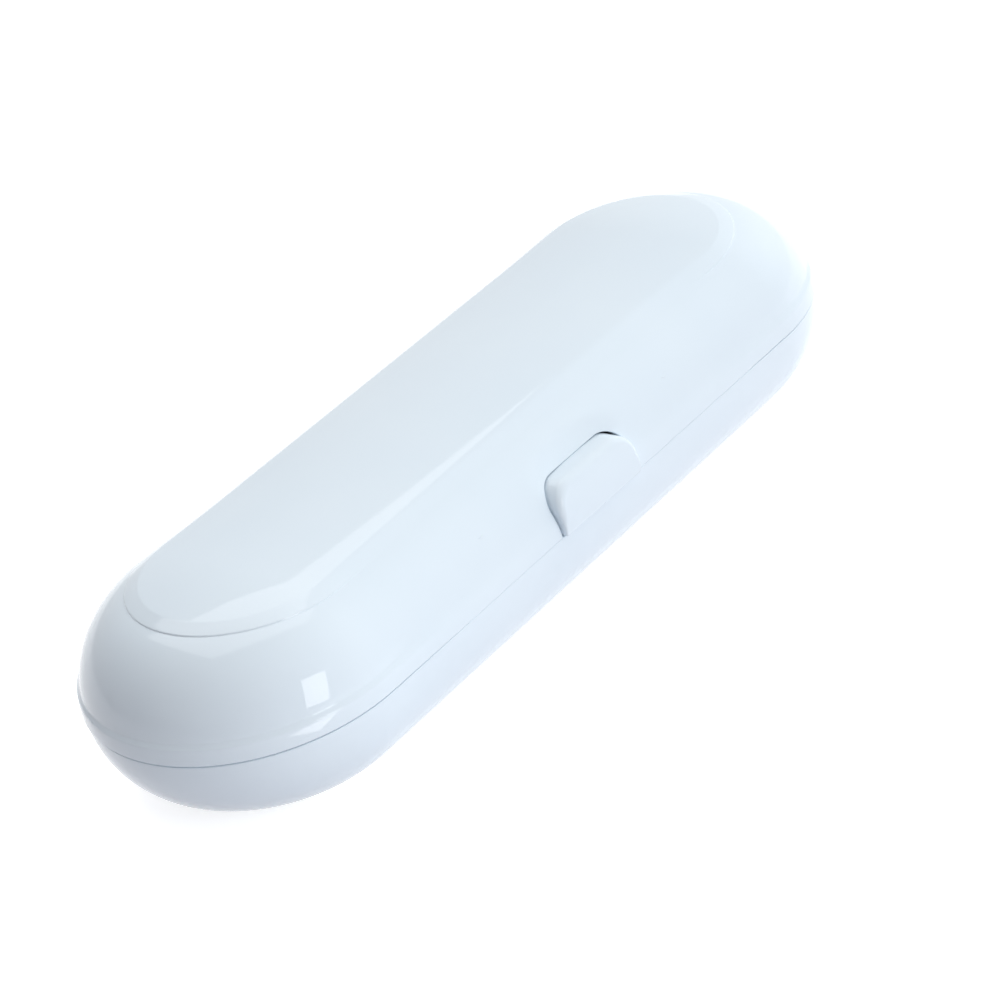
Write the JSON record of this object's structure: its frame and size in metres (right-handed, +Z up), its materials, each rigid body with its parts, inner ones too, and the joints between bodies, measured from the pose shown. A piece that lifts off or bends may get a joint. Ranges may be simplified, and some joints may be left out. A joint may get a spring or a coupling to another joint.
{
  "type": "electric toothbrush travel case",
  "caption": "Rounded glossy two-part travel case with a rear hinge, a sprung push latch and a moulded inner tray for a toothbrush handle and brush heads.",
  "frame": {"origin": "centre of the flat face that the case rests on, below the middle of the shells", "axes": "+X along the case, -Y towards the latch button, +Z up"},
  "size_m": [0.215, 0.0798, 0.045],
  "materials": {
    "shell": "polished",
    "insert": "fine matt",
    "soft_pad": "matt",
    "steel": "plain"
  },
  "bodies": {
    "base": {"base_shell": "shell", "base_tray": "insert", "handle_pad_left": "soft_pad", "handle_pad_right": "soft_pad", "brush_pad_left": "soft_pad", "brush_pad_right": "soft_pad", "tray_screws": "steel", "hinge_pin_left": "steel", "hinge_pin_right": "steel"},
    "lid": {"lid_shell": "shell", "lid_liner": "insert", "lid_pad_left": "soft_pad", "lid_pad_right": "soft_pad", "liner_screws": "steel", "latch_bracket": "insert", "bracket_screws": "steel", "latch_spring": "steel"},
    "button": {"latch_button": "shell"}
  },
  "joints": [
    {"name": "lid_hinge", "type": "hinge", "parent": "base", "child": "lid", "pos_m": [0, 0.038, 0.0224], "axis": [-1, 0, 0], "range_deg": [0, 125]},
    {"name": "latch_press", "type": "slide", "parent": "lid", "child": "button", "axis": [0, 1, 0], "range_m": [0, 0.002], "stiffness_N_per_m": 1400, "springref_m": -0.001, "deforming": ["latch_spring"]}
  ]
}
